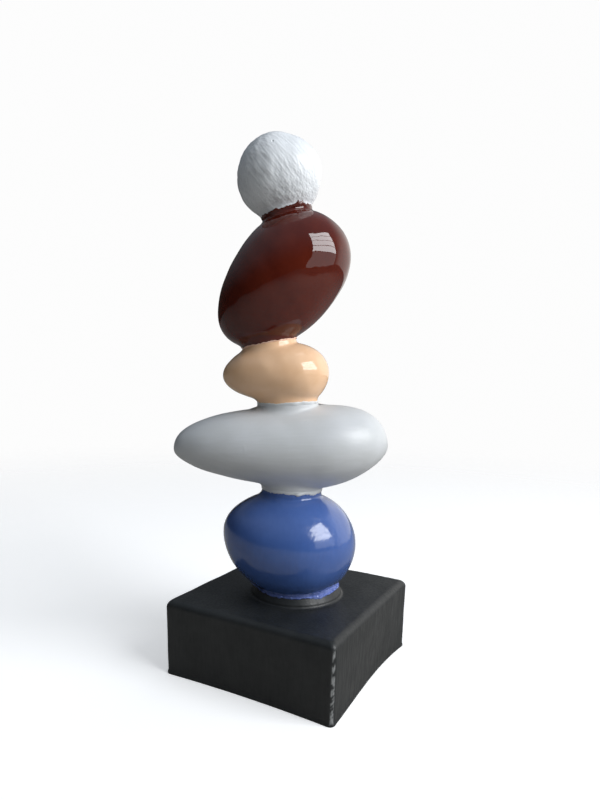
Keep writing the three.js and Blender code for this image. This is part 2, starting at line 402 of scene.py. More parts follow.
class Part:
    """Puts surfaces into Blender meshes."""

    @staticmethod
    def closed_grid(name: str, rings: np.ndarray, ends: np.ndarray | None) -> bpy.types.Object:
        """A mesh of rings joined by quads, each ring closed on itself.

        Args:
            name: The piece's name.
            rings: Rows by columns by 3, in millimetres, anticlockwise from above and rising.
            ends: The two points that close the first and the last ring, or None to join the last
                ring to the first.

        Returns:
            The object, at the origin.
        """
        rows, columns = rings.shape[:2]
        row = np.arange(rows if ends is None else rows - 1)[:, None]
        here = np.arange(columns)[None, :]
        after = (here + 1) % columns
        above = (row + 1) % rows
        quads = np.stack(
            [row * columns + here, row * columns + after,
             above * columns + after, above * columns + here], axis=-1,
        ).reshape(-1, 4)
        points = rings.reshape(-1, 3)
        fans = np.zeros((0, 3), int)
        if ends is not None:
            first, last = rows * columns, rows * columns + 1
            top = (rows - 1) * columns
            here, after = here[0], after[0]
            bottom_fan = np.stack([np.full(columns, first), after, here], axis=-1)
            top_fan = np.stack([np.full(columns, last), top + here, top + after], axis=-1)
            fans = np.concatenate([bottom_fan, top_fan])
            points = np.concatenate([points, ends])
        return Part.mesh_object(name, points, quads, fans)

    @staticmethod
    def mesh_object(
        name: str, points: np.ndarray, quads: np.ndarray, triangles: np.ndarray
    ) -> bpy.types.Object:
        """A smooth-shaded mesh object from arrays of corners.

        Args:
            name: The piece's name.
            points: Corners in millimetres.
            quads: Four corner numbers a row.
            triangles: Three corner numbers a row.

        Returns:
            The object, at the origin, linked to the scene.
        """
        mesh = bpy.data.meshes.new(name)
        loops = np.concatenate([quads.ravel(), triangles.ravel()]).astype(np.int32)
        sizes = np.concatenate([np.full(len(quads), 4), np.full(len(triangles), 3)])
        starts = np.concatenate([[0], np.cumsum(sizes)[:-1]]).astype(np.int32)
        mesh.vertices.add(len(points))
        mesh.vertices.foreach_set("co", (points * MM).astype(np.float32).ravel())
        mesh.loops.add(len(loops))
        mesh.loops.foreach_set("vertex_index", loops)
        mesh.polygons.add(len(sizes))
        mesh.polygons.foreach_set("loop_start", starts)
        mesh.update(calc_edges=True)
        mesh.shade_smooth()
        mesh.set_sharp_from_angle(angle=math.radians(55.0))
        made = bpy.data.objects.new(name, mesh)
        bpy.context.scene.collection.objects.link(made)
        return made

    @staticmethod
    def add_values(piece: bpy.types.Object, name: str, values: np.ndarray) -> None:
        """Stores one number for each corner of the mesh, for its finish to read."""
        layer = piece.data.attributes.new(name, "FLOAT", "POINT")
        layer.data.foreach_set("value", values.astype(np.float32).ravel())


class Recipe:
    """A node tree being put together."""

    MIX_FACTOR = 0
    MIX_A = 6
    MIX_B = 7
    MIX_RESULT = 2

    def __init__(self, tree: bpy.types.NodeTree) -> None:
        """Starts from an empty tree."""
        self.tree = tree
        tree.nodes.clear()

    def add(self, kind: str, sockets: dict | None = None, **settings) -> bpy.types.Node:
        """Adds a node.

        Args:
            kind: Its type.
            sockets: What goes in its input sockets: an output socket to link, or a value.
            **settings: Its own properties.

        Returns:
            The node.
        """
        node = self.tree.nodes.new(kind)
        for name, value in settings.items():
            setattr(node, name, value)
        for socket, value in (sockets or {}).items():
            if isinstance(value, bpy.types.NodeSocket):
                self.tree.links.new(value, node.inputs[socket])
            else:
                node.inputs[socket].default_value = value
        return node

    def place(self, stretch: tuple[float, float, float], turn=(0.0, 0.0, 0.0)):
        """Object coordinates turned and stretched, as an output socket."""
        source = self.add("ShaderNodeTexCoord").outputs["Object"]
        sockets = {"Vector": source, "Scale": stretch, "Rotation": turn}
        return self.add("ShaderNodeMapping", sockets).outputs["Vector"]

    def noise(self, vector, size: float, detail: float = 3.0, rough: float = 0.5):
        """A noise of patches of about a size in millimetres, as an output socket."""
        sockets = {"Vector": vector, "Scale": 1.0 / (size * MM), "Detail": detail}
        node = self.add("ShaderNodeTexNoise", sockets)
        node.inputs["Roughness"].default_value = rough
        return node.outputs[0]

    def between(self, value, low: float, high: float, to_low: float, to_high: float):
        """A value's range carried to another range, smoothly and clamped, as a socket."""
        sockets = {
            "Value": value, "From Min": low, "From Max": high, "To Min": to_low, "To Max": to_high,
        }
        kind = "SMOOTHSTEP"
        return self.add("ShaderNodeMapRange", sockets, interpolation_type=kind).outputs["Result"]

    def mix(self, factor, first, second):
        """Two colours mixed, as an output socket."""
        sockets = {self.MIX_FACTOR: factor, self.MIX_A: first, self.MIX_B: second}
        node = self.add("ShaderNodeMix", sockets, data_type="RGBA")
        return node.outputs[self.MIX_RESULT]

    def maths(self, operation: str, first, second):
        """Two numbers combined, as an output socket."""
        return self.add("ShaderNodeMath", {0: first, 1: second}, operation=operation).outputs[0]

    def bump(self, height, depth: float, normal=None):
        """A relief of a depth in millimetres over another, as an output socket."""
        sockets = {"Height": height, "Distance": depth * MM}
        if normal is not None:
            sockets["Normal"] = normal
        return self.add("ShaderNodeBump", sockets).outputs["Normal"]


Colour = tuple[float, float, float]


def rgba(colour: Colour) -> tuple[float, float, float, float]:
    """An opaque colour."""
    return (*colour, 1.0)


class Gloss(Enum):
    """How a coat of paint shines: roughness at its smoothest and at its dullest."""

    ENAMEL = (0.03, 0.055)
    SEMI = (0.13, 0.26)
    SATIN = (0.30, 0.42)
    BRUSHED = (0.24, 0.46)
    MATT = (0.40, 0.56)


@dataclass(frozen=True)
class Paint:
    """A brushed or dipped coat of paint.

    colour and shade are its two tones, patch the size of their patches. stroke_turn and
    stroke_size lay its brush strokes, and stroke_depth is how deep they are; peel_size and
    peel_depth are those of the fine unevenness of the dried film.
    """

    name: str
    slot: str
    colour: Colour
    shade: Colour
    gloss: Gloss
    patch: float = 14.0
    stroke_turn: Colour = (0.0, 0.0, 0.0)
    stroke_size: float = 1.2
    stroke_length: float = 12.0
    stroke_depth: float = 0.0
    peel_size: float = 3.0
    peel_depth: float = 0.01
    coat: float = 0.0
    coat_roughness: float = 0.05
    specular: float = 0.5

    def tone(self, recipe: Recipe):
        """The coat's colour, as an output socket."""
        patches = recipe.noise(recipe.place((1.0, 1.0, 1.0)), self.patch, 4.0, 0.6)
        share = recipe.between(patches, 0.3, 0.7, 0.0, 1.0)
        return recipe.mix(share, rgba(self.colour), rgba(self.shade))

    def material(self) -> bpy.types.Material:
        """The finish, as a material that reads Object coordinates."""
        made = bpy.data.materials.new(self.name)
        made.use_nodes = True
        recipe = Recipe(made.node_tree)
        smooth, dull = self.gloss.value
        stretch = (1.0, 1.0, self.stroke_size / self.stroke_length)
        strokes = recipe.noise(recipe.place(stretch, self.stroke_turn), self.stroke_size, 4.0, 0.6)
        film = recipe.noise(recipe.place((1.0, 1.0, 1.0)), self.peel_size, 2.0, 0.5)
        normal = recipe.bump(film, self.peel_depth)
        if self.stroke_depth > 0.0:
            normal = recipe.bump(strokes, self.stroke_depth, normal)
        shader = recipe.add("ShaderNodeBsdfPrincipled", {
            "Base Color": self.tone(recipe),
            "Roughness": recipe.between(strokes, 0.3, 0.7, smooth, dull),
            "Normal": normal,
            "Specular IOR Level": self.specular,
            "Coat Weight": self.coat,
            "Coat Roughness": self.coat_roughness,
        })
        recipe.add("ShaderNodeOutputMaterial", {"Surface": shader.outputs[0]})
        return made


@dataclass(frozen=True)
class WearAndSheenPaint(Paint):
    """A coat turned pale where the wear-and-sheen value is high: worn plaster and painted
    highlight.
    """

    # Pale colour of bare plaster, which also stands for a painted highlight on the lit corner.
    bare: Colour = (0.35, 0.36, 0.36)

    def tone(self, recipe: Recipe):
        """The coat's colour with the pale worn and painted-highlight places, as an output socket.
        """
        coat = super().tone(recipe)
        wear_and_sheen = recipe.add("ShaderNodeAttribute", attribute_name=Block.WEAR_AND_SHEEN).outputs["Fac"]
        return recipe.mix(wear_and_sheen, coat, rgba(self.bare))


WHITE_BALL_PAINT = Paint(
    "white brushed paint", "white_ball_paint", (0.80, 0.83, 0.86), (0.72, 0.75, 0.78),
    Gloss.BRUSHED, patch=9.0, stroke_turn=(0.5, 0.7, 0.3), stroke_depth=0.06, peel_size=1.6,
)
BROWN_PAINT = Paint(
    "brown enamel", "brown_enamel", (0.095, 0.013, 0.006), (0.070, 0.008, 0.004),
    Gloss.ENAMEL, patch=20.0, peel_size=2.2, peel_depth=0.006,
)
PEACH_PAINT = Paint(
    "peach enamel", "peach_enamel", (0.86, 0.57, 0.36), (0.82, 0.52, 0.31),
    Gloss.ENAMEL, patch=16.0, peel_size=3.0, peel_depth=0.010,
)
# The edge colour is paler than the peach coat: partly a paler coat on the bead, partly a painted
# highlight.
PEACH_EDGE_PALE_AND_HIGHLIGHT_PAINT = Paint(
    "pale peach edge with painted highlight", "peach_enamel", (0.88, 0.60, 0.46), (0.82, 0.52, 0.38),
    Gloss.ENAMEL, patch=3.0, peel_size=1.0, peel_depth=0.010,
)
LONG_WHITE_PAINT = Paint(
    "white satin paint", "white_satin_paint", (0.64, 0.66, 0.68), (0.60, 0.62, 0.63),
    Gloss.SATIN, patch=18.0, stroke_turn=(0.0, 1.45, 0.0), stroke_depth=0.015, peel_size=2.5,
)
BLUE_PAINT = Paint(
    "blue paint", "blue_paint", (0.060, 0.128, 0.38), (0.050, 0.110, 0.34),
    Gloss.SEMI, patch=15.0, stroke_turn=(0.0, 0.1, 0.0), stroke_depth=0.012, coat=0.5,
)
# The edge colour is far paler than the blue coat: a painted highlight along the raised ridge of
# paint.
BLUE_EDGE_HIGHLIGHT_PAINT = Paint(
    "blue edge with painted highlight", "blue_paint", (0.22, 0.28, 0.62), (0.12, 0.18, 0.48),
    Gloss.SEMI, patch=2.5, peel_size=1.0, peel_depth=0.02,
)
# Black coat whose pale corner line is partly worn paint and partly a painted highlight.
BLACK_PAINT = WearAndSheenPaint(
    "black satin paint", "black_paint", (0.010, 0.012, 0.013), (0.017, 0.019, 0.020),
    Gloss.MATT, patch=11.0, peel_size=1.5, peel_depth=0.02,
)


def dress(piece: bpy.types.Object, paint: Paint, materials: dict) -> bpy.types.Object:
    """Gives a piece its finish and its body.

    Args:
        piece: The piece, in place.
        paint: Its finish.
        materials: Materials made so far, by finish name.

    Returns:
        The piece.
    """
    if paint.name not in materials:
        materials[paint.name] = paint.material()
    piece.data.materials.append(materials[paint.name])
    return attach(piece, BODY)


@dataclass(frozen=True)
class Stone:
    """One painted stone: its form on a grid of rays from a heart inside it, with fine relief.

    heart is (along, up) of the point that the rays leave from. Each column of the grid runs from
    the ring at the waist below, over the stone's side, to the ring at the waist above or, without
    one, to a pole on top.
    """

    name: str
    node: str
    form: StoneForm
    heart: tuple[float, float]
    paint: Paint
    relief: tuple[Relief, ...]
    rows: int = 210
    columns: int = 340
    crowding: float = 0.3
    far: float = 95.0
    fade: float = 1.5

    def turns(self) -> np.ndarray:
        """Bearings of the columns, crowded on the side that faces the viewer."""
        even = np.arange(self.columns) / self.columns * 2.0 * math.pi
        return even - self.crowding * np.sin(even - math.radians(FRONT))

    def waist(self, neck: Neck, side: int, turns: np.ndarray) -> np.ndarray:
        """The stone's ring just off a waist's plane, found along the plane from its middle."""
        middle = neck.axes().world(np.array([0.0, 0.0, side * WAIST_GAP]))
        reach = neck.radius + self.fade + 4.0
        return find_surface(self.form.distance, middle, neck.outward(turns), reach)

    def rings(self) -> tuple[np.ndarray, np.ndarray]:
        """The grid of the bare form, and the points that close its two ends."""
        turns = self.turns()
        heart = stack_point(*self.heart)
        below, above = self.form.below, self.form.above
        low_ring = self.waist(below, 1, turns)
        low_way = unit(low_ring - heart)
        low_end = below.axes().world(np.array([0.0, 0.0, WAIST_GAP]))
        if above is None:
            high_way = np.broadcast_to(UP, low_way.shape)
            line = UP
        else:
            high_way = unit(self.waist(above, -1, turns) - heart)
            line = unit(above.axes().origin - below.axes().origin)
        right = unit(np.cross(AWAY, line))
        side_way = np.cos(turns)[:, None] * right + np.sin(turns)[:, None] * AWAY
        half = np.linspace(0.0, 1.0, self.rows // 2, endpoint=False)
        rest = np.linspace(0.0, 1.0, self.rows - self.rows // 2)
        if above is None:
            rest = rest[:-1]
        ways = np.concatenate(
            [arc_between(low_way, side_way, half), arc_between(side_way, high_way, rest)]
        )
        rings = find_surface(self.form.distance, heart, ways, self.far)
        rings[0] = low_ring
        if above is None:
            high_end = find_surface(self.form.distance, heart, UP[None, :], self.far)[0]
        else:
            high_end = above.axes().world(np.array([0.0, 0.0, -WAIST_GAP]))
        return rings, np.stack([low_end, high_end])

    def relief_at(self, points: np.ndarray) -> np.ndarray:
        """The fine relief's height, faded out at the waists so that the rings stay in place."""
        total = sum(item.at(points) for item in self.relief)
        for neck in filter(None, [self.form.below, self.form.above]):
            lift = np.abs(neck.axes().local(points)[..., 2])
            total = total * smooth_step(0.0, self.fade, lift)
        return total

    def build(self, materials: dict) -> bpy.types.Object:
        """Makes the stone and dresses it."""
        rings, ends = self.rings()
        normals = grid_normals(rings)
        rings = rings + normals * self.relief_at(rings)[..., None]
        if self.form.above is None:
            ends[1] += UP * self.relief_at(ends[1:])[0]
        piece = Part.closed_grid(self.name, rings, ends)
        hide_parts(self.node)
        return dress(piece, self.paint, materials)


@dataclass(frozen=True)
class Blob:
    """A thicker place on a paint edge: its bearing and width in degrees, and what it adds."""

    turn: float
    width: float
    spill: float
    swell: float

    def at(self, turns: np.ndarray) -> np.ndarray:
        """1 at the blob, falling to 0 round the ring as a bell of the bearing."""
        off = (np.degrees(turns) - self.turn + 180.0) % 360.0 - 180.0
        return np.exp(-((off / self.width) ** 2))


@dataclass(frozen=True)
class PaintEdge:
    """The raised, ragged edge where one coat laps over a waist onto the neighbouring stone.

    near and far are the edge's two sides, as heights from the waist: near on the coat's own
    stone, far on the neighbour. The strip lies on the surface of both stones and rises to
    thickness, most of all towards far.
    """

    name: str
    neck: Neck
    lower: StoneForm | None
    upper: StoneForm
    paint: Paint
    near: float
    far: float
    thickness: float
    ragged: float
    seed: int
    blobs: tuple[Blob, ...] = ()
    lean: float = 1.5
    inset: float = 4.0
    columns: int = 520
    across: int = 15
    tuck: float = 0.12
    root: float = 0.5

    def distance(self, points: np.ndarray) -> np.ndarray:
        """Distance outside the two things that meet at the waist."""
        total = self.upper.distance(points)
        if self.lower is not None:
            return np.minimum(total, self.lower.distance(points))
        local = self.neck.axes().local(points)
        girth = np.hypot(local[..., 0], local[..., 1])
        return np.minimum(total, np.maximum(girth - Block.COLLAR_TOP_RADIUS, local[..., 2]))

    def wander(self, turns: np.ndarray, salt: int, finest: int) -> np.ndarray:
        """A seeded uneven line round the ring: cosines of whole numbers of waves, added up."""
        rng = np.random.default_rng([self.seed, salt])
        counts = np.arange(1, finest)
        weights = rng.normal(size=len(counts)) / counts**0.55
        phases = rng.uniform(0.0, 2.0 * math.pi, len(counts))
        waves = np.cos(counts[:, None] * turns[None, :] + phases[:, None])
        return weights @ waves / math.sqrt(float(np.sum(weights**2)) / 2.0)

    def strip(self) -> np.ndarray:
        """The strip's rings: over its top from near to far, and back beneath the surface."""
        turns = np.arange(self.columns) / self.columns * 2.0 * math.pi
        way = math.copysign(1.0, self.far - self.near)
        swell = 1.0 + 0.35 * self.wander(turns, 1, 24)
        spill = self.far + way * self.ragged * self.wander(turns, 2, 60)
        for blob in self.blobs:
            swell = swell + blob.swell * blob.at(turns)
            spill = spill + way * blob.spill * blob.at(turns)
        swell = np.maximum(swell, 0.35)
        start = np.full_like(turns, self.near) + way * 0.5 * self.ragged * self.wander(turns, 3, 16)
        share = np.linspace(0.0, 1.0, self.across)[:, None]
        level = start + (spill - start) * share
        rise = np.arctan2(level, self.inset)
        bearings = np.broadcast_to(turns, rise.shape)
        origins = self.neck.ring(bearings, inset=self.inset)
        ways = self.neck.outward(bearings, rise)
        points = find_surface(self.distance, origins, ways, 5.0 * self.inset)
        normals = gradient(self.distance, points)
        dome = np.sqrt(np.clip(np.sin(math.pi * share**self.lean), 0.0, 1.0))
        height = self.thickness * swell * dome - self.tuck * (1.0 - dome)
        over = points + normals * height[..., None]
        under = (points - normals * self.root)[::-2]
        return np.concatenate([over, under])

    def build(self, materials: dict) -> bpy.types.Object:
        """Makes the edge and dresses it."""
        rings = self.strip()
        if self.far < self.near:
            rings = rings[::-1]
        return dress(Part.closed_grid(self.name, rings, None), self.paint, materials)


@dataclass(frozen=True)
class Side:
    """How one side of the block is pinched inward, at its top and at its foot.

    skew moves the deepest place towards the side's far end, anticlockwise from the front.
    """

    top: float
    foot: float
    skew: float


@dataclass(frozen=True)
class Block:
    """The square black block with its collar, as one surface from its underside to its top."""

    WEAR_AND_SHEEN = "wear_and_sheen"
    COLLAR_TOP_RADIUS = 22.8

    name: str = "black_block"
    node: str = "black_base"
    width: float = 100.0
    taper: float = 1.3
    corner_radius: float = 2.5
    edge_radius: float = 4.0
    lip_reach: float = 0.4
    lip_height: float = 1.0
    collar_along: float = 2.0
    collar_foot_radius: float = 24.5
    collar_fillet: float = 1.6
    collar_edge: float = 0.7
    sides: tuple[Side, ...] = (
        Side(0.3, 1.5, 0.0), Side(0.2, 2.1, 0.6), Side(0.3, 1.8, -0.2), Side(0.5, 1.6, 0.2),
    )
    side_steps: int = 84
    corner_steps: int = 14
    relief: tuple[Relief, ...] = (
        Ripple(0.09, 60.0, 14.0, seed=71),
        Ripple(0.012, 6.0, 1.6, seed=72),
    )

    def outline(self, height: np.ndarray) -> np.ndarray:
        """The block's outline at each height: four pinched sides joined by round corners.

        A side at along is drawn in by pinch times (1 - along squared) times (1 + skew along).

        Args:
            height: Heights above the table, one for each row.

        Returns:
            Rows by columns by 2.
        """
        share = (height / BASE_HEIGHT)[:, None]
        half = self.width / 2.0 - self.taper * (1.0 - share)
        straight = half - self.corner_radius
        along = np.sin(np.linspace(-1.0, 1.0, self.side_steps) * 0.8) / math.sin(0.8)
        angle = np.linspace(-math.pi / 2.0, 0.0, self.corner_steps + 2)[1:-1]
        parts = []
        for number, side in enumerate(self.sides):
            pinch = side.foot + (side.top - side.foot) * share
            drawn = pinch * (1.0 - along**2) * (1.0 + side.skew * along)
            x = np.concatenate([along * straight,
                                straight + self.corner_radius * np.cos(angle)], axis=1)
            y = np.concatenate([drawn - half,
                                self.corner_radius * np.sin(angle) - straight], axis=1)
            turn = number * math.pi / 2.0
            parts.append(np.stack([x * math.cos(turn) - y * math.sin(turn),
                                   x * math.sin(turn) + y * math.cos(turn)], axis=-1))
        return np.concatenate(parts, axis=1)

    def profile(self) -> tuple[np.ndarray, np.ndarray]:
        """The block's rows up to the flat top, as insets from the outline and heights."""
        lip = self.lip_height
        quarter = np.linspace(0.0, math.pi / 2.0, 15)
        top_inset = self.edge_radius * (1.0 - np.cos(quarter))
        top_height = BASE_HEIGHT - self.edge_radius * (1.0 - np.sin(quarter))
        side = np.linspace(2.4 * lip, BASE_HEIGHT - self.edge_radius, 46)[:-1]
        inset = [3.0, 0.1, -0.25, -self.lip_reach, -self.lip_reach, -0.25, -0.06]
        height = [0.0, 0.0, 0.05, 0.25, 0.8 * lip, 1.2 * lip, 1.8 * lip]
        return (np.concatenate([inset, np.zeros(len(side)), top_inset]),
                np.concatenate([height, side, top_height]))

    def collar(self) -> tuple[np.ndarray, np.ndarray]:
        """The collar's rows from the foot of its fillet, as radii and heights."""
        quarter = np.linspace(0.0, math.pi / 2.0, 9)
        foot = self.collar_foot_radius + self.collar_fillet * (1.0 - np.sin(quarter))
        climb = BASE_HEIGHT + self.collar_fillet * (1.0 - np.cos(quarter))
        last = COLLAR_TOP - self.collar_edge
        wall = np.linspace(climb[-1], last, 9)[1:-1]
        lean = (wall - climb[-1]) / (last - climb[-1])
        wall_radius = self.collar_foot_radius + (self.COLLAR_TOP_RADIUS
                                                 - self.collar_foot_radius) * lean
        edge = self.COLLAR_TOP_RADIUS - self.collar_edge * (1.0 - np.cos(quarter))
        edge_height = last + self.collar_edge * np.sin(quarter)
        inner = np.array([16.0, 6.0])
        return (np.concatenate([foot, wall_radius, edge, inner]),
                np.concatenate([climb, wall, edge_height, np.full(2, COLLAR_TOP)]))

    def rings(self) -> np.ndarray:
        """The whole grid: sides, flat top drawn from the square to the round, and collar."""
        inset, height = self.profile()
        edge = self.outline(height) * (1.0 - 2.0 * inset / self.width)[:, None, None]
        block = np.concatenate([edge, np.broadcast_to(height[:, None, None],
                                                      (*edge.shape[:2], 1))], axis=-1)
        middle = stack_point(self.collar_along, 0.0)[:2]
        last = edge[-1]
        bearing = np.arctan2(last[:, 1] - middle[1], last[:, 0] - middle[0])
        round_way = np.stack([np.cos(bearing), np.sin(bearing)], axis=-1)
        radius, climb = self.collar()
        circle = middle + radius[:, None, None] * round_way
        collar = np.concatenate([circle, np.broadcast_to(climb[:, None, None],
                                                         (*circle.shape[:2], 1))], axis=-1)
        share = np.linspace(0.0, 1.0, 34)[1:-1, None, None]
        flat = last + (circle[0] - last) * share
        top = np.concatenate([flat, np.full((*flat.shape[:2], 1), BASE_HEIGHT)], axis=-1)
        return np.concatenate([block, top, collar])

    def wear_and_sheen(self, points: np.ndarray) -> np.ndarray:
        """Pale line down the front corner, broken up finely: worn paint and a painted highlight."""
        corner = np.array([1.0, -1.0]) * (self.width / 2.0)
        near = np.hypot(points[..., 0] - corner[0], points[..., 1] - corner[1])
        pull = self.taper * (1.0 - points[..., 2] / BASE_HEIGHT) * math.sqrt(2.0)
        off = near - pull - self.corner_radius * (math.sqrt(2.0) - 1.0)
        breaks = Ripple(1.0, 7.0, 0.8, seed=73).at(points)
        line = np.exp(-((off / 0.22) ** 2)) * smooth_step(-0.9, 0.5, breaks)
        below_edge = smooth_step(BASE_HEIGHT - 1.0, BASE_HEIGHT - 4.0, points[..., 2])
        return 0.75 * line * below_edge * smooth_step(0.6, 2.5, points[..., 2])

    def build(self, materials: dict) -> bpy.types.Object:
        """Makes the block and dresses it."""
        rings = self.rings()
        standing = smooth_step(0.0, 1.0, rings[..., 2])
        under_stone = smooth_step(COLLAR_TOP - 0.2, COLLAR_TOP - 1.5, rings[..., 2])
        lift = sum(item.at(rings) for item in self.relief) * standing * under_stone
        rings = rings + grid_normals(rings) * lift[..., None]
        middle = stack_point(self.collar_along, COLLAR_TOP)
        ends = np.stack([np.zeros(3), middle])
        piece = Part.closed_grid(self.name, rings, ends)
        points = np.concatenate([rings.reshape(-1, 3), ends])
        Part.add_values(piece, self.WEAR_AND_SHEEN, self.wear_and_sheen(points))
        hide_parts(self.node)
        return dress(piece, BLACK_PAINT, materials)


BALL_NECK = Neck(-7.1, 246.3, 14.9, 13.4, 13.0, fillet_left=3.6, fillet_right=1.4)
BROWN_NECK = Neck(-15.0, 176.7, 11.6, 14.2, 13.5, fillet_left=4.4, fillet_right=1.4)
PEACH_NECK = Neck(-4.6, 144.4, 3.1, 16.0, 14.5, fillet_left=4.4, fillet_right=1.4)
LONG_NECK = Neck(-1.6, 97.6, -0.8, 16.3, 16.0, fillet_left=4.0, fillet_right=1.6)
COLLAR_NECK = Neck(2.0, 45.1, 0.0, 21.9, 21.9, fillet_left=2.0, fillet_right=2.0)

BALL = StoneForm(
    Pebble(-14.0, 266.5, -8.5, 20.0, 24.5, 21.5, 23.0, 22.5, -1.0, 0.0,
           blunt_tail=-0.05, blunt_nose=0.3),
    below=BALL_NECK,
)
BROWN = StoneForm(
    Pebble(-8.0, 215.5, 54.5, 47.5, 36.5, 26.0, 31.0, 28.0, 1.5, -4.0, blunt_nose=0.2),
    below=BROWN_NECK, above=BALL_NECK,
)
PEACH = StoneForm(
    Pebble(-4.0, 161.0, -6.0, 36.0, 21.0, 16.5, 17.5, 21.0, -5.0, 0.5, blunt_nose=0.2),
    below=PEACH_NECK, above=BROWN_NECK,
)
LONG = StoneForm(
    Pebble(11.3, 121.4, 3.0, 77.7, 38.7, 22.3, 22.9, 29.0, 0.0, -1.5,
           blunt_crown=0.6, blunt_belly=-0.4),
    below=LONG_NECK, above=PEACH_NECK,
)
BLUE = StoneForm(
    Pebble(2.0, 70.0, -5.0, 41.0, 32.0, 26.5, 32.5, 34.0, 2.0, -0.5,
           blunt_tail=-0.1, blunt_nose=-0.05),
    below=COLLAR_NECK, above=LONG_NECK,
)


def sculpture_stones() -> list[Stone]:
    """The five stones from the lowest up, each with its own relief."""
    return [
        Stone("blue_pebble", "blue_stone", BLUE, (2.0, 71.0), BLUE_PAINT, (
            Ripple(0.10, 40.0, 12.0, seed=11),
            Ripple(0.010, 5.0, 1.4, seed=12, stroke=(0.2, 0.1, 1.0)),
        )),
        Stone("long_white_pebble", "long_white_stone", LONG, (-3.0, 121.0), LONG_WHITE_PAINT, (
            Ripple(0.12, 45.0, 12.0, seed=21),
            Ripple(0.012, 5.0, 1.4, seed=22, stroke=(0.9, 0.5, 0.1)),
            Crease((-27.0, 125.0), (-25.4, 119.0), 0.6, 0.28, 0.14),
        )),
        Stone("peach_pebble", "peach_stone", PEACH, (-9.0, 160.5), PEACH_PAINT, (
            Ripple(0.08, 28.0, 8.0, seed=31),
            Ripple(0.006, 7.0, 3.0, seed=32),
        ), rows=190, columns=320),
        Stone("brown_pebble", "brown_stone", BROWN, (-10.0, 213.0), BROWN_PAINT, (
            Ripple(0.08, 34.0, 10.0, seed=41),
            Ripple(0.005, 7.0, 3.0, seed=42),
        )),
        Stone("white_ball", "white_ball_stone", BALL, (-11.0, 264.0), WHITE_BALL_PAINT, (
            Ripple(0.14, 22.0, 6.0, seed=51),
            Ripple(0.035, 4.0, 1.0, seed=52, stroke=(0.6, 0.2, -0.75)),
            Mark(-14.7, 277.2, 0.42, -0.75, 0.14),
        ), rows=220, columns=340),
    ]


def paint_edges() -> list[PaintEdge]:
    """The ragged edges of paint at the five joints, from the lowest up."""
    return [
        PaintEdge(
            "blue_paint_edge", COLLAR_NECK, None, BLUE, BLUE_EDGE_HIGHLIGHT_PAINT,
            near=1.3, far=-0.7, thickness=0.42, ragged=0.22, seed=101,
            blobs=(Blob(-58.0, 6.0, 1.0, 0.9), Blob(-40.0, 9.0, 0.3, 0.3)),
        ),
        PaintEdge(
            "white_paint_edge_low", LONG_NECK, BLUE, LONG, LONG_WHITE_PAINT,
            near=1.2, far=-0.7, thickness=0.34, ragged=0.22, seed=102,
            blobs=(Blob(-78.0, 6.0, 0.8, 0.9), Blob(-42.0, 9.0, 0.7, 0.8)),
        ),
        PaintEdge(
            "white_paint_edge_high", PEACH_NECK, LONG, PEACH, LONG_WHITE_PAINT,
            near=-0.9, far=1.1, thickness=0.30, ragged=0.22, seed=103,
        ),
        PaintEdge(
            "peach_paint_edge", BROWN_NECK, PEACH, BROWN, PEACH_EDGE_PALE_AND_HIGHLIGHT_PAINT,
            near=-0.5, far=0.35, thickness=0.26, ragged=0.14, seed=104,
        ),
        PaintEdge(
            "brown_paint_edge", BALL_NECK, BROWN, BALL, BROWN_PAINT,
            near=-1.2, far=0.9, thickness=0.42, ragged=0.26, seed=105,
            blobs=(Blob(-60.0, 6.0, 0.7, 0.5), Blob(-95.0, 4.0, -0.5, -0.2)),
        ),
    ]


@dataclass(frozen=True)
class Pane:
    """A pane of the window: its middle's height and its size up, in metres, and its radiance."""

    up: float
    tall: float
    radiance: float


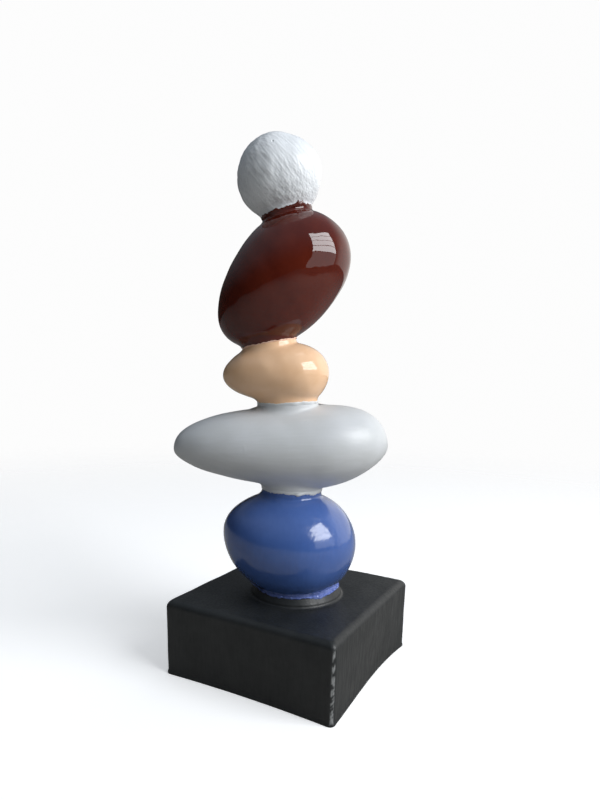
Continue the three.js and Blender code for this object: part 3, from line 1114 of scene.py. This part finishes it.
@dataclass(frozen=True)
class Studio:
    """Pale floor, white backdrop, a soft window light at the right and a dim room light.

    Lengths are metres.
    """

    window_at: float = 1.0
    window_middle: float = -0.04
    window_width: float = 0.82
    window_roll: float = 4.0
    panes: tuple[Pane, ...] = (
        Pane(1.205, 0.19, 9.5), Pane(0.99, 0.20, 9.5), Pane(0.77, 0.20, 9.5),
        Pane(0.555, 0.19, 9.5), Pane(0.29, 0.30, 1.2),
    )
    floor_radius: float = 2.5
    floor_glow: float = 0.42
    table_height: float = -0.5
    table_colour: Colour = (0.45, 0.43, 0.40)
    backdrop_radius: float = 8.0
    background: float = 0.98
    left_dim: Colour = (0.028, 0.027, 0.024)
    ceiling: Colour = (0.30, 0.34, 0.39)
    wall: Colour = (1.10, 1.08, 1.05)
    wall_azimuth: float = 158.0

    @staticmethod
    def disc(name: str, radii: tuple[float, ...], height: float) -> bpy.types.Object:
        """A flat disc about the origin, of rings at radii in metres from the outermost in.

        Args:
            name: The object's name.
            radii: The rings' radii.
            height: Its height, in millimetres.

        Returns:
            The object, facing up.
        """
        turns = np.linspace(0.0, 2.0 * math.pi, 97)[:-1]
        radius = np.array(radii)[:, None] / MM
        flat = np.stack([radius * np.cos(turns), radius * np.sin(turns),
                         np.full((len(radii), len(turns)), height)], axis=-1)
        rows, columns = flat.shape[:2]
        row, here = np.arange(rows - 1)[:, None], np.arange(columns)[None, :]
        after = (here + 1) % columns
        quads = np.stack([row * columns + here, row * columns + after,
                          (row + 1) * columns + after, (row + 1) * columns + here], axis=-1)
        last = (rows - 1) * columns
        fan = np.stack([np.full(columns, rows * columns), last + here[0], last + after[0]], axis=-1)
        points = np.concatenate([flat.reshape(-1, 3), np.array([[0.0, 0.0, height]])])
        return Part.mesh_object(name, points, quads.reshape(-1, 4), fan)

    @staticmethod
    def hide_from_light(piece: bpy.types.Object) -> None:
        """Lets only the camera see a piece, so that it neither lights the object nor shades it."""
        piece.visible_diffuse = False
        piece.visible_glossy = False
        piece.visible_transmission = False
        piece.visible_shadow = False

    def floor(self) -> None:
        """The pale floor that the camera sees, fading out into the backdrop."""
        floor = self.disc("floor", (self.floor_radius, 1.0, 0.5, 0.02), 0.0)
        made = bpy.data.materials.new("pale floor")
        made.use_nodes = True
        recipe = Recipe(made.node_tree)
        place = recipe.place((1.0, 1.0, 1.0))
        distance = recipe.add("ShaderNodeVectorMath", {0: place}, operation="LENGTH")
        fade = recipe.between(distance.outputs["Value"], 0.15, 1.0, 1.0, 0.0)
        sockets = {
            "Base Color": rgba((0.85, 0.85, 0.85)), "Roughness": 0.8, "Specular IOR Level": 0.1,
            "Emission Color": rgba((1.0, 1.0, 1.0)), "Emission Strength": self.floor_glow,
        }
        pale = recipe.add("ShaderNodeBsdfPrincipled", sockets).outputs[0]
        clear = recipe.add("ShaderNodeBsdfTransparent").outputs[0]
        mixed = recipe.add("ShaderNodeMixShader", {0: fade, 1: clear, 2: pale})
        recipe.add("ShaderNodeOutputMaterial", {"Surface": mixed.outputs[0]})
        floor.data.materials.append(made)
        self.hide_from_light(floor)

    def table(self) -> None:
        """The dull table just below the floor, which the camera does not see: it sends a little
        warm light up."""
        table = self.disc("table", (self.floor_radius, 1.0, 0.5, 0.02), self.table_height)
        made = bpy.data.materials.new("dull table")
        made.use_nodes = True
        recipe = Recipe(made.node_tree)
        sockets = {"Color": rgba(self.table_colour)}
        dull = recipe.add("ShaderNodeBsdfDiffuse", sockets)
        recipe.add("ShaderNodeOutputMaterial", {"Surface": dull.outputs[0]})
        table.data.materials.append(made)
        table.visible_camera = False

    def backdrop(self) -> None:
        """A white ball round the whole set, which only the camera sees."""
        bpy.ops.mesh.primitive_uv_sphere_add(
            segments=48, ring_count=24, radius=self.backdrop_radius
        )
        ball = bpy.context.object
        ball.name = "backdrop"
        made = bpy.data.materials.new("white backdrop")
        made.use_nodes = True
        recipe = Recipe(made.node_tree)
        white = rgba((1.0, 1.0, 1.0))
        glow = recipe.add("ShaderNodeEmission", {"Color": white, "Strength": self.background})
        recipe.add("ShaderNodeOutputMaterial", {"Surface": glow.outputs[0]})
        ball.data.materials.append(made)
        self.hide_from_light(ball)

    def window(self) -> None:
        """The window: panes of light one over the other, facing the object from its right."""
        for number, pane in enumerate(self.panes):
            light = bpy.data.lights.new(f"window pane {number}", "AREA")
            light.shape = "RECTANGLE"
            light.size = self.window_width
            light.size_y = pane.tall
            light.energy = pane.radiance * math.pi * self.window_width * pane.tall
            light.color = (0.97, 0.985, 1.0)
            holder = bpy.data.objects.new(light.name, light)
            holder.location = (self.window_at, self.window_middle, pane.up)
            upright = math.radians(90.0)
            holder.rotation_euler = (upright, math.radians(self.window_roll), upright)
            bpy.context.scene.collection.objects.link(holder)

    def room(self) -> None:
        """The light of the room: dim, brighter towards a pale wall behind at the right."""
        world = bpy.data.worlds.new("room")
        bpy.context.scene.world = world
        world.use_nodes = True
        recipe = Recipe(world.node_tree)
        way = recipe.add("ShaderNodeTexCoord").outputs["Generated"]
        turn = math.radians(self.wall_azimuth)
        wall = (math.sin(turn), -math.cos(turn), 0.0)
        toward = recipe.add("ShaderNodeVectorMath", {0: way, 1: wall}, operation="DOT_PRODUCT")
        bright = recipe.between(toward.outputs["Value"], 0.62, 0.90, 0.0, 1.0)
        height = recipe.add("ShaderNodeSeparateXYZ", {0: way}).outputs["Z"]
        overhead = recipe.between(height, 0.15, 0.85, 0.0, 1.0)
        dim = recipe.mix(overhead, rgba(self.left_dim), rgba(self.ceiling))
        colour = recipe.mix(bright, dim, rgba(self.wall))
        glow = recipe.add("ShaderNodeBackground", {"Color": colour, "Strength": 1.0})
        recipe.add("ShaderNodeOutputWorld", {"Surface": glow.outputs[0]})

    def build(self) -> None:
        """Sets up the whole studio."""
        self.floor()
        self.table()
        self.backdrop()
        self.window()
        self.room()
        bpy.context.scene.view_settings.view_transform = "Standard"
        log.info("studio")


@dataclass(frozen=True)
class Viewpoint:
    """The camera: bearing, height and roll in degrees, distance and target in metres."""

    azimuth: float = 28.63
    elevation: float = 2.93
    roll: float = 1.18
    distance: float = 0.3305
    target: tuple[float, float, float] = (0.002, 0.0, 0.146)
    lens: float = 27.0

    def build(self) -> None:
        """Makes the scene's camera, looking at the target with its roll about the line of sight."""
        turn, lift, roll = (math.radians(v) for v in (self.azimuth, self.elevation, self.roll))
        back = np.array([math.sin(turn) * math.cos(lift), -math.cos(turn) * math.cos(lift),
                         math.sin(lift)])
        right = unit(np.cross(UP, back))
        upward = np.cross(back, right)
        rolled_right = math.cos(roll) * right + math.sin(roll) * upward
        rolled_up = math.cos(roll) * upward - math.sin(roll) * right
        data = bpy.data.cameras.new("camera")
        data.lens = self.lens
        data.clip_start = 0.01
        camera = bpy.data.objects.new("camera", data)
        place = np.eye(4)
        place[:3, :3] = np.stack([rolled_right, rolled_up, back], axis=1)
        place[:3, 3] = np.array(self.target) + back * self.distance
        camera.matrix_world = Matrix(place.tolist())
        bpy.context.scene.collection.objects.link(camera)
        bpy.context.scene.camera = camera
        log.info("camera")


def main() -> None:
    """Builds the camera, the studio and every piece, from the block up, and logs each."""
    logging.basicConfig(level=logging.INFO, format="%(name)s: %(message)s")
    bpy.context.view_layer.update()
    Viewpoint().build()
    Studio().build()
    materials: dict = {}
    pieces = [Block()] + sculpture_stones() + paint_edges()
    for item in pieces:
        made = item.build(materials)
        log.info("%s: %d faces", made.name, len(made.data.polygons))


if __name__ == "__main__":
    main()
